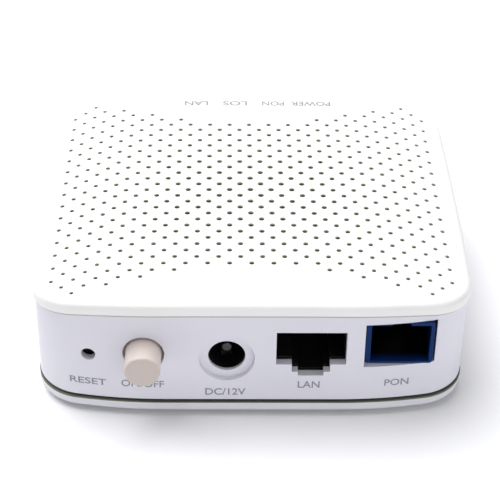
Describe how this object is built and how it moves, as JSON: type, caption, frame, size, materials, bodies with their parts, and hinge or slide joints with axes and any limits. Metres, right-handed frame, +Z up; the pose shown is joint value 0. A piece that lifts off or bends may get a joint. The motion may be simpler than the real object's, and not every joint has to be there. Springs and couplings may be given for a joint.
{
  "type": "optical network terminal",
  "caption": "Small square white case with a perforated crowned top; reset hole, push button, power jack, network port and blue fibre port along one wall.",
  "frame": {"origin": "on the plane the feet stand on, under the middle of the overall length from the button's tip to the lights' side and of the width", "axes": "+Z up; -Y is the way the port wall looks; +X to the right when facing the port wall"},
  "size_m": [0.0766, 0.075, 0.0245],
  "materials": {
    "cover_plastic": "satin moulded white",
    "wall_plastic": "satin moulded cool white",
    "base_plastic": "satin moulded white",
    "foot_rubber": "matt grey",
    "gasket_rubber": "dark moulded",
    "label_paper": "satin",
    "screw_steel": "zinc plated",
    "clear_plastic": "clear moulded",
    "board": "green solder mask",
    "black_plastic": "moulded black",
    "shield_steel": "tin plated sheet",
    "gold_contact": "gold plated",
    "button_plastic": "ivory satin",
    "switch_plastic": "off-white",
    "blue_plastic": "deep blue satin",
    "zirconia": "polished",
    "transceiver_metal": "nickel plated",
    "chip_epoxy": "moulded epoxy",
    "sink_aluminium": "natural anodised",
    "pad_silicone": "soft",
    "capacitor_can": "sleeved can",
    "ferrite": "coated ferrite",
    "chip_ceramic": "matt",
    "led_resin": "clear resin"
  },
  "bodies": {
    "case": {"top_cover": "cover_plastic", "wall_frame": "wall_plastic", "port_panel": "wall_plastic", "base_tray": "base_plastic", "gasket_ring": "gasket_rubber", "rubber_feet": "foot_rubber", "rating_label": "label_paper", "case_screws": "screw_steel", "light_pipe": "clear_plastic", "circuit_board": "board", "board_screws": "screw_steel", "lan_jack_housing": "black_plastic", "lan_jack_shield": "shield_steel", "lan_jack_contacts": "gold_contact", "dc_jack_body": "black_plastic", "dc_jack_pin": "shield_steel", "dc_jack_spring": "shield_steel", "power_switch_body": "switch_plastic", "reset_switch_body": "black_plastic", "reset_switch_bracket": "shield_steel", "optical_receptacle": "blue_plastic", "ferrule_sleeve": "zirconia", "transceiver_body": "transceiver_metal", "laser_can": "gold_contact", "photodiode_can": "transceiver_metal", "transceiver_cradle": "black_plastic", "lan_transformer": "chip_epoxy", "main_chip": "chip_epoxy", "thermal_pad": "pad_silicone", "heat_sink": "sink_aluminium", "memory_chip": "chip_epoxy", "flash_chip": "chip_epoxy", "driver_shield": "shield_steel", "electrolytic_capacitors": "capacitor_can", "power_inductors": "ferrite", "crystal": "shield_steel", "ceramic_capacitors": "chip_ceramic", "status_leds": "led_resin"},
    "power_button": {"power_button_cap": "button_plastic", "power_switch_plunger": "switch_plastic"},
    "reset_button": {"reset_plunger": "black_plastic"}
  },
  "joints": [
    {"name": "power_press", "type": "slide", "parent": "case", "child": "power_button", "axis": [0, 1, 0], "range_m": [0, 0.0025], "stiffness_N_per_m": 600, "springref_m": -0.001},
    {"name": "reset_press", "type": "slide", "parent": "case", "child": "reset_button", "axis": [0, 1, 0], "range_m": [0, 0.0003], "stiffness_N_per_m": 1200, "springref_m": -0.0005}
  ]
}
